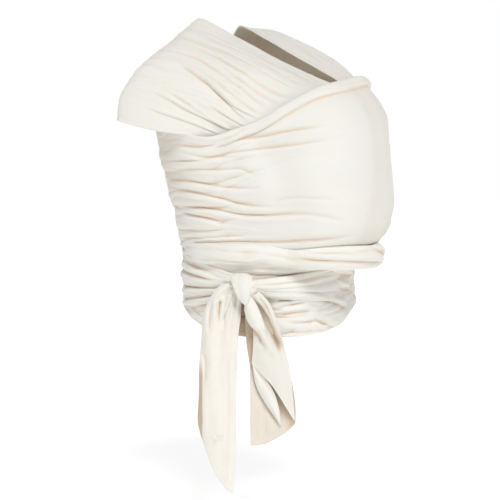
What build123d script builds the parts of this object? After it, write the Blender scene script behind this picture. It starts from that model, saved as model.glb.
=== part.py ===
from build123d import *

import math
import os

# Baby wrap sling, tied for wearing: one long strip of stretch jersey, modelled pass by pass
#
# Millimetres. +Z is up, the wearer faces -Y and the wearer's right is -X. The origin is midway between the
# shoulders, at the height where the cloth sits on them. A heading is an angle round from the front (-Y)
# towards the wearer's right (-X), so the wearer's right side is at 90 and the back is at 180.

os.makedirs("parts", exist_ok=True)

# Cloth and layers
CLOTH = 4.0  # thickness of one gathered pass of the cloth
OUTER_LAYER = 9.0  # how far the outer passes stand off the body
MIDDLE_LAYER = 2.0
UNDER_LAYER = -4.5
SECTION_ROWS = 6  # steps down each upright section of a pass
FINE_ROWS = 12  # the same over the baby
PANEL_STEPS = 25  # steps along each pass
CROSS_STEPS = 14
WAIST_STEPS = 36
STRAND_STEPS = 8
RIM_STEPS = 10
ROLL_STEPS = 7
BAND_STEPS = 16
BAND_WIDTH_STEPS = 10  # steps across a band
FACING_TURNS = range(-80, 81, 4)  # directions tried when the cloth is stretched round a section, in degrees
RIM_RADIUS = 4.5  # rolled upper edge of the pouch panel
ROLL_RADIUS = 11.0  # rolled lower edge under the baby's seat

# Heights and headings of the passes
PANEL_BOTTOM = -356.0
PANEL_END = 125.0  # heading at which the pouch panel becomes the passes across the back
RIM_END = 60
RIM_RISE = 7.0  # middle of the rolled rim above the panel's edge
RIM_LAYER = 13.0
ROLL_HEIGHT = -375.0
ROLL_HEADINGS = (-58, 40)
ROLL_SEAT_HEIGHT = -345.0  # the roll is pulled in under the pouch as it is at this height
ROLL_SEAT_LAYER = -8.0
WAIST_TOP = -362.0
HEM_HEIGHT = -462.0
HEM_DIP = 43.0  # how much lower the hem hangs on the side of the knot
HEM_DIP_HEADING = 50.0
WAIST_LAYERS = (1.5, 7.0)  # the inner and the outer turn
WAIST_STARTS = (-119, 61)  # heading at which each turn begins
TURN = 356  # heading that a turn covers

# How far the shoulder bands keep inside the pouch panel's upper edge
TUCK_LAYER = 3.0
TUCK_SLOPE = 0.6  # how fast they come out again above the edge
TUCK_HEADING = 80  # past this heading they hang outside the panel
TUCK_RELEASE = 1.5

# Knot and hanging ends
KNOT_FACING = 56.0  # heading that the knot faces
KNOT_HEIGHT = -420.0
KNOT_LAYER = 31.0  # how far the middle of the knot stands off the body
KNOT_HALF_WIDTH = 24.0
KNOT_HALF_HEIGHT = 20.0
KNOT_HALF_DEPTH = 13.0
LOOP_GAP = 0.6  # between the knot and the loop wrapped over it
LOOP_THICKNESS = 6.0
LOOP_HALF_WIDTH = 13.0
LOOP_FOOT = 12.0  # how far below the knot's middle the loop reaches
STRAND_LAYER = 13.5
TAIL_LAYER = 25.0  # how far the middle of a hanging end stands off the body
TAIL_THICKNESS = 12.0
TAIL_THROAT = 5.0  # thickness of a hanging end where it leaves the knot
THROAT_LENGTH = 45.0
HINGE_DROP = 25.0  # swing axis of the hanging ends, below the middle of the knot
LONG_FOLD = 156.0  # fold line half way down the longer end, below the middle of the knot
SHORT_FOLD = 124.0
FOLD_GAP = 0.6

# Horizontal sections of the wearer's body: height, half width, half depth, middle in Y
TORSO = [
    (-60, 165, 92, 28),
    (-100, 172, 112, 28),
    (-170, 172, 132, 30),
    (-230, 163, 128, 24),
    (-300, 150, 120, 12),
    (-360, 143, 116, 3),
    (-420, 142, 116, 0),
    (-510, 146, 120, 0),
]
# Horizontal sections of the baby carried in front
BABY = [
    (-80, 68, 26, -100),
    (-120, 92, 62, -103),
    (-160, 102, 80, -108),
    (-220, 104, 84, -110),
    (-290, 106, 88, -114),
    (-330, 100, 82, -112),
    (-352, 86, 66, -106),
    (-366, 60, 36, -92),
    (-380, 30, 20, -60),
]
# Upper edge of the pouch panel: heading, height
PANEL_TOP = [
    (-125, -184),
    (-88, -191),
    (-62, -132),
    (-40, -99),
    (-15, -94),
    (3, -97),
    (26, -113),
    (55, -160),
    (85, -192),
    (125, -184),
]
# Upper and lower edges of the right back cross: heading, upper height, lower height
BACK_CROSS = [
    (143, -166, -226),
    (151, -128, -272),
    (166, -82, -318),
    (180, -96, -340),
    (200, -134, -352),
    (216, -160, -356),
    (233, -182, -356),
]
# Upper and lower edges of the right chest cross, under the pouch panel
CHEST_CROSS = [
    (-80, -240, -350),
    (-50, -192, -350),
    (-20, -142, -348),
    (4, -118, -342),
    (30, -166, -300),
    (60, -216, -240),
]
# Lines along the right shoulder band, from the chest over the shoulder to the back: the neck edge first,
# the free edge that hangs over the upper arm last
BAND_LINES = [
    [(-4, -150, -99), (-18, -88, -74), (-32, -26, -49), (-46, 36, -24), (-59, 90, -2), (-56, 114, -14)],
    [(-60, -140, -124), (-82, -95, -95), (-98, -40, -70), (-112, 20, -48), (-122, 84, -30), (-110, 118, -50)],
    [
        (-111, -117, -166), (-132, -73, -142), (-155, -29, -114),
        (-172, 30, -88), (-184, 92, -72), (-166, 122, -92),
    ],
    [
        (-130, -82, -188), (-147, -50, -172), (-167, -10, -154),
        (-192, 42, -134), (-204, 100, -116), (-192, 124, -126),
    ],
    [
        (-145, -50, -203), (-155, -29, -197), (-168, -3, -186),
        (-196, 50, -178), (-210, 103, -164), (-196, 124, -160),
    ],
]
# Where those lines end on the back: heading, height
BAND_ENDS = [(167, -66), (155, -100), (147, -132), (142, -148), (138, -162)]
# Strands drawn to the knot, from their far end: heading, height of the middle, half the height
BACK_STRAND = [(140, -424, 40), (74, -420, 11)]
FRONT_STRAND = [(-26, -416, 24), (55, -420, 11)]
# Side edges of the hanging ends: across from the middle of the knot, height from it
LONG_LEFT = [
    (-24, -24), (-58, -52), (-63, -82), (-68, -116), (-70, -193), (-60, -230), (-41, -286), (-17, -311),
]
LONG_RIGHT = [(-4, -24), (-6, -60), (-9, -116), (-11, -230), (-14, -311)]
SHORT_LEFT = [(5, -24), (8, -60), (12, -106), (12, -236)]
SHORT_RIGHT = [
    (28, -24), (56, -47), (62, -75), (73, -106), (79, -159), (77, -200), (33, -232), (14, -236),
]


def between(value, table):
    """The table's numbers at a value, in a straight line between the two nearest rows."""
    rows = sorted(table)
    if value <= rows[0][0]:
        return rows[0][1:]
    for (low, *first), (high, *second) in zip(rows, rows[1:]):
        if value <= high:
            share = (value - low) / (high - low)
            return tuple(a + (b - a) * share for a, b in zip(first, second))
    return rows[-1][1:]


def along(points, share):
    """A point on the smooth line through the points, share running from 0 to 1."""
    last = len(points) - 1
    position = min(max(share, 0.0), 1.0) * last
    i = min(int(position), last - 1)
    f = position - i
    start, end = points[i], points[i + 1]
    before = points[i - 1] if i else [2 * a - b for a, b in zip(start, end)]
    after = points[i + 2] if i + 2 <= last else [2 * b - a for a, b in zip(start, end)]
    return tuple(
        0.5 * (2 * b + (c - a) * f + (2 * a - 5 * b + 4 * c - d) * f**2 + (3 * b - a - 3 * c + d) * f**3)
        for a, b, c, d in zip(before, start, end, after)
    )


def reach(heading, height, layer):
    """How far from the axis cloth stretched round the wearer and the baby lies."""
    wide, deep, middle = between(height, TORSO)
    baby_wide, baby_deep, baby_middle = between(height, BABY)
    carried = BABY[-1][0] <= height <= BABY[0][0]
    nearest = math.inf
    for turn in FACING_TURNS:
        facing = math.radians(heading + turn)
        nx, ny = -math.sin(facing), -math.cos(facing)
        support = middle * ny + math.hypot(wide * nx, deep * ny)
        if carried:
            support = max(support, baby_middle * ny + math.hypot(baby_wide * nx, baby_deep * ny))
        nearest = min(nearest, (support + layer) / math.cos(math.radians(turn)))
    return nearest


def skin(heading, height, layer):
    """A point on cloth stretched round the wearer and the baby."""
    distance = reach(heading, height, layer)
    angle = math.radians(heading)
    return (-distance * math.sin(angle), -distance * math.cos(angle), height)


def finish(builder, name):
    """Labels a finished piece and writes its file."""
    builder.part.label = name
    export_step(builder.part, f"parts/{name}.step")


def steps(first, last, count):
    """Evenly spaced headings, both ends included."""
    return [first + (last - first) * i / count for i in range(count + 1)]


def wall(headings, edges, layer, row_count=SECTION_ROWS):
    """A pass of cloth on the body, its upper and lower edges given by a function of the heading."""
    with BuildPart() as pass_of_cloth:
        for heading in headings:
            top, bottom = edges(heading)
            angle = math.radians(heading)
            forward = (-math.sin(angle), -math.cos(angle), 0)
            upright = Plane(origin=(0, 0, 0), x_dir=forward, z_dir=(forward[1], -forward[0], 0))
            rows = [top + (bottom - top) * step / row_count for step in range(row_count + 1)]
            inner = [(reach(heading, height, layer), height) for height in rows]
            outer = [(reach(heading, height, layer + CLOTH), height) for height in reversed(rows)]
            with BuildSketch(upright):
                with BuildLine():
                    Spline(*inner)
                    Line(inner[-1], outer[0])
                    Spline(*outer)
                    Line(outer[-1], inner[0])
                make_face()
        loft(ruled=True)
    return pass_of_cloth


# Pouch panel: the middle of the strip, spread over the baby and round both flanks
pouch_panel = wall(
    steps(-PANEL_END, PANEL_END, PANEL_STEPS),
    lambda heading: (between(heading, PANEL_TOP)[0], PANEL_BOTTOM),
    OUTER_LAYER,
    FINE_ROWS,
)
finish(pouch_panel, "pouch_panel")

# Pouch rim: the panel's upper edge, rolled outward
with BuildPart() as pouch_rim:
    with BuildLine() as rim_line:
        Spline(
            *[
                skin(heading, between(heading, PANEL_TOP)[0] + RIM_RISE, RIM_LAYER)
                for heading in steps(-RIM_END, RIM_END, RIM_STEPS)
            ]
        )
    with BuildSketch(Plane(rim_line.line @ 0, z_dir=rim_line.line % 0)):
        Circle(RIM_RADIUS)
    sweep()
finish(pouch_rim, "pouch_rim")

# Shoulder bands: spread from the neck to the upper arm, like a cap sleeve, and tucked under the panel
def tucked(point):
    """The point, moved in where the panel's upper edge lies over it."""
    x, y, z = point
    heading = math.degrees(math.atan2(-x, -y))
    edge = max(between(heading, PANEL_TOP)[0], between(-heading, PANEL_TOP)[0])
    above = max(0.0, z - edge)
    beyond = max(0.0, abs(heading) - TUCK_HEADING)
    limit = reach(heading, z, TUCK_LAYER) + TUCK_SLOPE * above + TUCK_RELEASE * beyond
    share = min(1.0, limit / math.hypot(x, y))
    return (x * share, y * share, z)


for band_line, band_end in zip(BAND_LINES, BAND_ENDS):
    band_line.append(skin(*band_end, OUTER_LAYER))
band_rows = [
    [tucked(along([along(line, i / BAND_STEPS) for line in BAND_LINES], j / BAND_WIDTH_STEPS))
     for j in range(BAND_WIDTH_STEPS + 1)]
    for i in range(BAND_STEPS + 1)
]
band_face = Face.make_surface_from_array_of_points(band_rows, tol=0.2)
with BuildPart() as right_shoulder_band:
    thicken(band_face, amount=math.copysign(CLOTH, -band_face.normal_at(band_face.position_at(0.5, 0.5)).X))
finish(right_shoulder_band, "right_shoulder_band")

with BuildPart() as left_shoulder_band:
    mirror(right_shoulder_band.part, about=Plane.YZ)
finish(left_shoulder_band, "left_shoulder_band")

# Back crosses: from each shoulder across the back to the opposite flank, the right one outside
back_headings = steps(BACK_CROSS[0][0], BACK_CROSS[-1][0], CROSS_STEPS)
right_back_cross = wall(back_headings, lambda heading: between(heading, BACK_CROSS), OUTER_LAYER)
finish(right_back_cross, "right_back_cross")

left_back_cross = wall(
    [360 - heading for heading in back_headings],
    lambda heading: between(360 - heading, BACK_CROSS),
    MIDDLE_LAYER,
)
finish(left_back_cross, "left_back_cross")

# Chest crosses: the bands run on under the pouch panel, across the baby's back to the opposite hip
chest_headings = steps(CHEST_CROSS[0][0], CHEST_CROSS[-1][0], CROSS_STEPS)
right_chest_cross = wall(
    chest_headings,
    lambda heading: between(heading, CHEST_CROSS),
    MIDDLE_LAYER,
    FINE_ROWS,
)
finish(right_chest_cross, "right_chest_cross")

left_chest_cross = wall(
    [-heading for heading in chest_headings],
    lambda heading: between(-heading, CHEST_CROSS),
    UNDER_LAYER,
    FINE_ROWS,
)
finish(left_chest_cross, "left_chest_cross")


# Seat roll: the bunched lower edge of the passes, pulled under the baby's seat
def roll_point(heading):
    under_pouch = reach(heading, ROLL_SEAT_HEIGHT, ROLL_SEAT_LAYER)
    outside_waist = reach(heading, ROLL_HEIGHT, OUTER_LAYER + CLOTH + ROLL_RADIUS)
    angle = math.radians(heading)
    distance = max(under_pouch, outside_waist)
    return (-distance * math.sin(angle), -distance * math.cos(angle), ROLL_HEIGHT)


with BuildPart() as seat_roll:
    with BuildLine() as roll_line:
        Spline(*[roll_point(heading) for heading in steps(*ROLL_HEADINGS, ROLL_STEPS)])
    with BuildSketch(Plane(roll_line.line @ 0, z_dir=roll_line.line % 0)):
        Circle(ROLL_RADIUS)
    sweep()
finish(seat_roll, "seat_roll")


# Waist passes: two turns round the waist, one over the other
def waist_edges(heading):
    dip = max(0.0, math.cos(math.radians(heading - HEM_DIP_HEADING)))
    return WAIST_TOP, HEM_HEIGHT - HEM_DIP * dip


def waist_turn(start, layer):
    """One turn of the cloth round the waist."""
    return wall(steps(start, start + TURN, WAIST_STEPS), waist_edges, layer)


waist_wrap_inner = waist_turn(WAIST_STARTS[0], WAIST_LAYERS[0])
finish(waist_wrap_inner, "waist_wrap_inner")

waist_wrap_outer = waist_turn(WAIST_STARTS[1], WAIST_LAYERS[1])
finish(waist_wrap_outer, "waist_wrap_outer")


# Knot strands: the two ends of the strip drawn to the knot, one from the back and one from the front
def strand(table):
    """A strand on the outer waist pass that narrows towards the knot."""

    def edges(heading):
        middle, half = between(heading, table)
        return middle + half, middle - half

    return wall(steps(table[0][0], table[-1][0], STRAND_STEPS), edges, STRAND_LAYER)


back_strand = strand(BACK_STRAND)
finish(back_strand, "knot_strand_back")

front_strand = strand(FRONT_STRAND)
finish(front_strand, "knot_strand_front")


# Knot: the two ends tied once, with one wrapped over the other
def seat(layer, drop):
    """A point in front of the knot's place on the waist, at a distance off the body."""
    wide, deep, middle = between(KNOT_HEIGHT, TORSO)
    facing = math.radians(KNOT_FACING)
    nx, ny = -math.sin(facing), -math.cos(facing)
    support = math.hypot(wide * nx, deep * ny)
    return (
        wide**2 * nx / support + layer * nx,
        middle + deep**2 * ny / support + layer * ny,
        KNOT_HEIGHT - drop,
    )


knot_heading = math.radians(KNOT_FACING)
OUTWARD = (-math.sin(knot_heading), -math.cos(knot_heading), 0)
ACROSS = (math.cos(knot_heading), -math.sin(knot_heading), 0)
SIDEWAYS = (-ACROSS[0], -ACROSS[1], 0)
knot_front = Plane(origin=seat(KNOT_LAYER, 0), x_dir=ACROSS, z_dir=OUTWARD)
knot_side = Plane(origin=seat(KNOT_LAYER, 0), x_dir=OUTWARD, z_dir=SIDEWAYS)

with BuildPart() as knot:
    with BuildSketch(knot_side):
        Ellipse(KNOT_HALF_DEPTH, KNOT_HALF_HEIGHT)
    extrude(amount=KNOT_HALF_WIDTH, both=True)
    with BuildSketch(knot_front):
        Ellipse(KNOT_HALF_WIDTH, KNOT_HALF_HEIGHT)
    extrude(amount=KNOT_HALF_DEPTH, both=True, mode=Mode.INTERSECT)
finish(knot, "knot")

# Knot loop: the turn of cloth over the front of the knot
loop_depth = KNOT_HALF_DEPTH + LOOP_GAP
loop_height = KNOT_HALF_HEIGHT + LOOP_GAP
with BuildPart() as knot_loop:
    with BuildSketch(knot_side):
        Ellipse(loop_depth + LOOP_THICKNESS, loop_height + LOOP_THICKNESS)
        Ellipse(loop_depth, loop_height, mode=Mode.SUBTRACT)
        with Locations((0, -LOOP_FOOT)):
            Rectangle(3 * loop_depth, 3 * loop_height, align=(Align.MIN, Align.MIN), mode=Mode.INTERSECT)
    extrude(amount=LOOP_HALF_WIDTH, both=True)
finish(knot_loop, "knot_loop")

# Hanging ends: each swings at the knot and folds half way down
half_thick = TAIL_THICKNESS / 2
half_throat = TAIL_THROAT / 2


def upper_profile(fold):
    """Side view above the fold: thin where the end leaves the knot."""
    throat = -HINGE_DROP - FOLD_GAP
    full = throat - THROAT_LENGTH
    foot = half_thick + FOLD_GAP - fold
    Polygon(
        (-half_throat, throat), (half_throat, throat), (half_thick, full),
        (half_thick, foot), (-half_thick, foot), (-half_thick, full), align=None,
    )


def lower_profile(fold):
    """Side view below the fold: rounded about the fold line."""
    with Locations((0, -fold)):
        Circle(half_thick)
        Rectangle(TAIL_THICKNESS, 2 * fold, align=(Align.CENTER, Align.MAX))


def tail_half(outline, profile, fold):
    """Half of a hanging end, with its outline seen from the front and its thickness from the side."""
    left, right = outline
    with BuildPart() as half:
        with BuildSketch(Plane(origin=seat(TAIL_LAYER, 0), x_dir=ACROSS, z_dir=OUTWARD)):
            with BuildLine():
                Spline(*left)
                Spline(*right)
                Line(left[0], right[0])
                Line(left[-1], right[-1])
            make_face()
        extrude(amount=half_thick, both=True)
        with BuildSketch(Plane(origin=seat(TAIL_LAYER, 0), x_dir=OUTWARD, z_dir=SIDEWAYS)):
            profile(fold)
        extrude(amount=fold, both=True, mode=Mode.INTERSECT)
    return half


long_outline = (LONG_LEFT, LONG_RIGHT)
long_tail_upper = tail_half(long_outline, upper_profile, LONG_FOLD)
finish(long_tail_upper, "long_tail_upper")
long_tail_lower = tail_half(long_outline, lower_profile, LONG_FOLD)
finish(long_tail_lower, "long_tail_lower")

short_outline = (SHORT_LEFT, SHORT_RIGHT)
short_tail_upper = tail_half(short_outline, upper_profile, SHORT_FOLD)
finish(short_tail_upper, "short_tail_upper")
short_tail_lower = tail_half(short_outline, lower_profile, SHORT_FOLD)
finish(short_tail_lower, "short_tail_lower")
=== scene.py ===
"""The looks of the baby wrap sling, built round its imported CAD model.

Lengths in the tables and functions are millimetres, and meshes are made in metres. A heading is an angle
round from the front (-Y) towards the wearer's right (-X). The cloth is one long strip, so the pouch panel and
the two shoulder passes are cut from one grid that runs from chest end to chest end.
"""
import math

import bmesh
import bpy
import numpy as np
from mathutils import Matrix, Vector


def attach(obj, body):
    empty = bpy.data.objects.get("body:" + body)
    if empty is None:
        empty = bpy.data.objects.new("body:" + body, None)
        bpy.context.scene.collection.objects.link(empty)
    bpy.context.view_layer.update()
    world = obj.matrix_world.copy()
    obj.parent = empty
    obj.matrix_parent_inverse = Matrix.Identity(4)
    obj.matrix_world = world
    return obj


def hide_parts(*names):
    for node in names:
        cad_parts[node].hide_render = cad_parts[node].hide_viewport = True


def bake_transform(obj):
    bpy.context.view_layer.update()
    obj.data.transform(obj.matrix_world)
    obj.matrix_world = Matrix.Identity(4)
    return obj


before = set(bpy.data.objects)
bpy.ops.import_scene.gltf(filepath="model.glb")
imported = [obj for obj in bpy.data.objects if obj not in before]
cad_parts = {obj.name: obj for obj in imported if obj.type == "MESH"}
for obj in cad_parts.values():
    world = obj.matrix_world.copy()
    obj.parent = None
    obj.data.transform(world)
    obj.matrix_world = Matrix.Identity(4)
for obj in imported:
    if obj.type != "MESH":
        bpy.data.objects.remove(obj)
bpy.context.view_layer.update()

MM = 0.001
WRAP = "wrap"
PER_DEGREE = 2.3  # mm of cloth to a degree of heading
THIN = 1.5  # thickness of one layer of jersey, with its nap
OUTER_LAYER = 11.0  # how far the outer passes stand off the body
LEFT_CROSS_LAYER = 5.0  # the pass from the left shoulder lies under the other on the back
CHEST_LAYERS = {"right": 3.5, "left": -2.5}
STRAND_LAYER = 14.0
TURN_PACE = 2.4  # mm of cloth to a degree in the folds of the turns round the body
WAIST_LAYERS = {"inner": 3.0, "outer": 9.0}

# Horizontal sections of the wearer's body: height, half width, half depth, middle in Y
TORSO = [
    (-60, 165, 92, 28),
    (-100, 172, 112, 28),
    (-170, 172, 132, 30),
    (-230, 163, 128, 24),
    (-300, 150, 120, 12),
    (-360, 143, 116, 3),
    (-420, 142, 116, 0),
    (-510, 146, 120, 0),
]
# Horizontal sections of the baby carried in front
BABY = [
    (-60, 40, 10, -100),
    (-80, 68, 26, -100),
    (-120, 92, 62, -103),
    (-160, 102, 80, -108),
    (-220, 104, 84, -110),
    (-290, 106, 88, -114),
    (-330, 100, 82, -112),
    (-352, 86, 66, -106),
    (-366, 60, 36, -92),
    (-380, 30, 20, -60),
    (-400, 10, 5, -40),
]
PANEL_END = 125
PANEL_BOTTOM = -356
# Upper edge of the pouch panel: heading, height
PANEL_TOP = [
    (-125, -172),
    (-104, -176),
    (-88, -190),
    (-62, -136),
    (-40, -105),
    (-15, -101),
    (3, -105),
    (26, -120),
    (55, -164),
    (86, -191),
    (104, -176),
    (125, -172),
]
# Lines along the right shoulder pass, from the chest over the shoulder: the neck edge first, the free edge
# over the upper arm last
BAND_LINES = [
    [(-4, -150, -99), (-18, -88, -74), (-32, -26, -49), (-46, 36, -24), (-59, 90, -2), (-56, 114, -14)],
    [(-60, -140, -124), (-82, -95, -95), (-98, -40, -70), (-112, 20, -48), (-122, 84, -30), (-110, 118, -50)],
    [(-111, -117, -166), (-132, -73, -142), (-155, -29, -114), (-172, 30, -88), (-184, 92, -72),
     (-166, 122, -92)],
    [(-130, -82, -188), (-147, -50, -172), (-167, -10, -154), (-192, 42, -134), (-204, 100, -116),
     (-192, 124, -126)],
    [(-145, -50, -203), (-155, -29, -197), (-168, -3, -186), (-196, 50, -178), (-210, 103, -164),
     (-196, 124, -160)],
]
# The pass runs on down the back. First and second point of each row: heading and height of its upper and of
# its lower edge
BAND_ENDS = [(167, -66), (155, -100), (147, -132), (142, -148), (138, -162)]
BACK_ROWS = [
    ((174, -82), (142, -222)),
    ((184, -104), (150, -270)),
    ((198, -130), (170, -328)),
    ((214, -157), (198, -366)),
    ((235, -172), (235, -356)),
]


def smoothed_table(table, spread):
    """A table of heights as dense, smoothed columns, top row first, one row to a millimetre."""
    rows = sorted(table)
    heights = np.arange(-560.0, 21.0)
    known = np.array(rows, float)
    kernel = np.exp(-0.5 * (np.arange(-3 * spread, 3 * spread + 1) / spread) ** 2)
    kernel /= kernel.sum()
    columns = [np.interp(heights, known[:, 0], column) for column in known[:, 1:].T]
    return heights, [np.convolve(np.pad(c, 3 * spread, mode="edge"), kernel, mode="valid") for c in columns]


TORSO_SHAPE = smoothed_table(TORSO, 14)
BABY_SHAPE = smoothed_table(BABY, 7)
TURNS = np.radians(np.arange(-80, 81, 2.0))
HULL_LOW, HULL_STEP = -540.0, 2.0


def section(shape, height):
    """Half width, half depth and middle of the body's section at some heights."""
    heights, columns = shape
    return [np.interp(height, heights, column) for column in columns]


def spread_kernel(count, width):
    """Weights of a moving average, Gaussian, width in samples."""
    reach = np.arange(-count, count + 1)
    weights = np.exp(-0.5 * (reach / width) ** 2)
    return weights / weights.sum()


def smooth_rows(grid, width, axis, closed=False):
    """The grid averaged along an axis. Open ends keep their place and their slope."""
    if width <= 0:
        return grid
    count = int(3 * width)
    moved = np.moveaxis(grid, axis, 0)
    count = min(count, moved.shape[0] - 1)
    if closed:
        before, after = moved[-count:], moved[:count]
    else:
        before = 2 * moved[:1] - moved[count:0:-1]
        after = 2 * moved[-1:] - moved[-2:-count - 2:-1]
    long = np.concatenate([before, moved, after])
    total = sum(w * long[i:i + moved.shape[0]] for i, w in enumerate(spread_kernel(count, width)))
    return np.moveaxis(total, 0, axis)


def smooth_grid(grid, rows, columns, closed=False):
    """The grid averaged along its rows and its columns. It may be closed along the first."""
    return smooth_rows(smooth_rows(grid, rows, 0, closed), columns, 1)


def hull_table():
    """How far the stretched cloth lies from the axis, for every degree of heading and step of height."""
    headings, heights = np.meshgrid(np.arange(360.0), np.arange(HULL_LOW, 1, HULL_STEP), indexing="ij")
    directions = np.radians(headings)[..., None] + TURNS
    nx, ny = -np.sin(directions), -np.cos(directions)
    wide, deep, middle = [c[..., None] for c in section(TORSO_SHAPE, heights)]
    support = middle * ny + np.hypot(wide * nx, deep * ny)
    wide, deep, middle = [c[..., None] for c in section(BABY_SHAPE, heights)]
    carried = ((heights < -70) & (heights > -392))[..., None]
    baby = middle * ny + np.hypot(wide * nx, deep * ny)
    support = np.where(carried, np.maximum(support, baby), support)
    return smooth_grid((support / np.cos(TURNS)).min(axis=-1), 3.0, 3.0, closed=True)


HULL = hull_table()


def hull_radius(heading, height):
    """Distance of the stretched cloth from the axis, from the table by cubic interpolation."""
    x = np.mod(heading, 360.0)
    y = np.clip((height - HULL_LOW) / HULL_STEP, 1.0, HULL.shape[1] - 3.0)
    xi, yi = np.floor(x).astype(int), np.floor(y).astype(int)
    fx, fy = x - xi, y - yi

    def weights(f):
        return (
            -0.5 * f + f**2 - 0.5 * f**3,
            1 - 2.5 * f**2 + 1.5 * f**3,
            0.5 * f + 2 * f**2 - 1.5 * f**3,
            -0.5 * f**2 + 0.5 * f**3,
        )

    total = 0.0
    for i, wx in enumerate(weights(fx)):
        for j, wy in enumerate(weights(fy)):
            total = total + wx * wy * HULL[(xi + i - 1) % 360, yi + j - 1]
    return total


def polar(heading, height, radius):
    """Points from headings, heights and distances from the axis."""
    angle = np.radians(heading)
    return np.stack([-radius * np.sin(angle), -radius * np.cos(angle), height + 0 * radius], axis=-1)


def unit(vectors):
    """The same directions with length 1."""
    return vectors / np.maximum(np.linalg.norm(vectors, axis=-1, keepdims=True), 1e-9)


def run_lengths(points, axis=0):
    """Distance covered so far along an axis of a line or grid of points."""
    steps = np.linalg.norm(np.diff(points, axis=axis), axis=-1)
    return np.cumsum(np.insert(steps, 0, 0.0, axis=axis), axis=axis)


def hull_normal(heading, height):
    """Outward direction of the stretched cloth."""
    def spot(turn, rise):
        return polar(heading + turn, height + rise, hull_radius(heading + turn, height + rise))

    return unit(np.cross(spot(0, 2) - spot(0, -2), spot(1, 0) - spot(-1, 0)))


def skin(heading, height, layer):
    """Points on cloth stretched round the wearer and the baby."""
    heading, height = np.asarray(heading, float), np.asarray(height, float)
    at = polar(heading, height, hull_radius(heading, height))
    return at + hull_normal(heading, height) * np.asarray(layer, float)[..., None]


def grid_normals(points, closed=False):
    """Directions square to a grid of points, along rows crossed with along columns."""
    if closed:
        around = np.roll(points, -1, axis=0) - np.roll(points, 1, axis=0)
    else:
        around = np.gradient(points, axis=0)
    return unit(np.cross(around, np.gradient(points, axis=1)))


def outer_normals(points, away, closed=False):
    """The same, on the side of the grid that the directions away point to."""
    normals = grid_normals(points, closed)
    return normals * np.sign((normals * away).sum(axis=-1).mean())


def along(points, share):
    """Points on the smooth line through the given points, share from 0 to 1. Points may be grids."""
    points = np.asarray(points, float)
    last = len(points) - 1
    position = np.clip(np.asarray(share, float), 0, 1) * last
    i = np.minimum(position.astype(int), last - 1)
    f = (position - i).reshape((-1,) + (1,) * (points.ndim - 1))
    padded = np.concatenate([2 * points[:1] - points[1:2], points, 2 * points[-1:] - points[-2:-1]])
    a, b, c, d = padded[i], padded[i + 1], padded[i + 2], padded[i + 3]
    return 0.5 * (2 * b + (c - a) * f + (2 * a - 5 * b + 4 * c - d) * f**2 + (3 * b - a - 3 * c + d) * f**3)


def refined(points, share, across):
    """A fine grid of points through a coarse one."""
    return along(along(points, share).transpose(1, 0, 2), across).transpose(1, 0, 2)


def ramp(value, low, high):
    """0 below low, 1 above high, smooth between. Low may be the larger."""
    share = np.clip((value - low) / (high - low), 0, 1)
    return share * share * (3 - 2 * share)


LATTICE = 64
LATTICES = {}


def noise(x, y, seed):
    """A smooth random field from -1 to 1, about one wave to a unit."""
    if seed not in LATTICES:
        LATTICES[seed] = np.random.default_rng(seed).uniform(-1, 1, (LATTICE, LATTICE))
    table = LATTICES[seed]
    xi, yi = np.floor(x).astype(int), np.floor(y).astype(int)
    fx, fy = x - xi, y - yi
    fx, fy = fx**3 * (fx * (6 * fx - 15) + 10), fy**3 * (fy * (6 * fy - 15) + 10)
    a, b = table[xi % LATTICE, yi % LATTICE], table[(xi + 1) % LATTICE, yi % LATTICE]
    c, d = table[xi % LATTICE, (yi + 1) % LATTICE], table[(xi + 1) % LATTICE, (yi + 1) % LATTICE]
    return (a * (1 - fx) + b * fx) * (1 - fy) + (c * (1 - fx) + d * fx) * fy


def gathers(length, across, seed, wave=150.0):
    """Folds along the length of gathered cloth: round ridges with sharp valleys, height about -0.5 to 0.5.
    length is in mm, across is counted in folds."""
    drift = 0.7 * noise(length / 130, across / 4, seed) + 0.25 * noise(length / 50, across / 1.5, seed + 1)
    large = np.abs(noise(length / wave, (across + drift) * 0.62, seed + 2))
    small = np.abs(noise(length / (0.6 * wave), (across + 1.4 * drift) * 1.45, seed + 3))
    fine = noise(length / (0.3 * wave), (across + 2 * drift) * 3.4, seed + 4)
    return 0.85 * np.sqrt(large) + 0.42 * np.sqrt(small) + 0.06 * fine - 0.85


def crease(x, y, points, depth, width, lip=0.7):
    """One crease along a given line of points: a sharp valley with a round ridge on its left side. It
    fades out at both ends."""
    line = along(points, np.linspace(0, 1, 33))
    best = np.full(x.shape, 1e9)
    side = np.zeros(x.shape)
    place = np.zeros(x.shape)
    for i, (start, end) in enumerate(zip(line, line[1:])):
        run = end - start
        length2 = max(float(run @ run), 1e-9)
        share = np.clip(((x - start[0]) * run[0] + (y - start[1]) * run[1]) / length2, 0, 1)
        dx, dy = x - start[0] - share * run[0], y - start[1] - share * run[1]
        distance = np.hypot(dx, dy)
        nearer = distance < best
        best = np.where(nearer, distance, best)
        side = np.where(nearer, np.sign(run[0] * dy - run[1] * dx), side)
        place = np.where(nearer, (i + share) / 32, place)
    fade = ramp(place, 0.0, 0.22) * ramp(place, 1.0, 0.72)
    d = best * side
    valley = np.exp(-(best / width) ** 1.25)
    ridge = np.exp(-(((d - 1.9 * width) / (1.5 * width)) ** 2))
    return depth * fade * (lip * ridge - valley)


def creases_at(heading, height, creases, order=-1, lip=0.7):
    """Fold heights of creases given as headings and heights. An order of -1 puts the ridges on the right of
    the lines."""
    total = np.zeros(heading.shape)
    for points, depth, width in creases:
        placed = [(h * PER_DEGREE, z) for h, z in points]
        total += crease(heading * PER_DEGREE, height, placed[::order], depth, width, lip)
    return total


def new_object(name, data):
    """A new object, put into the scene."""
    made = bpy.data.objects.new(name, data)
    bpy.context.scene.collection.objects.link(made)
    return made


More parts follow.
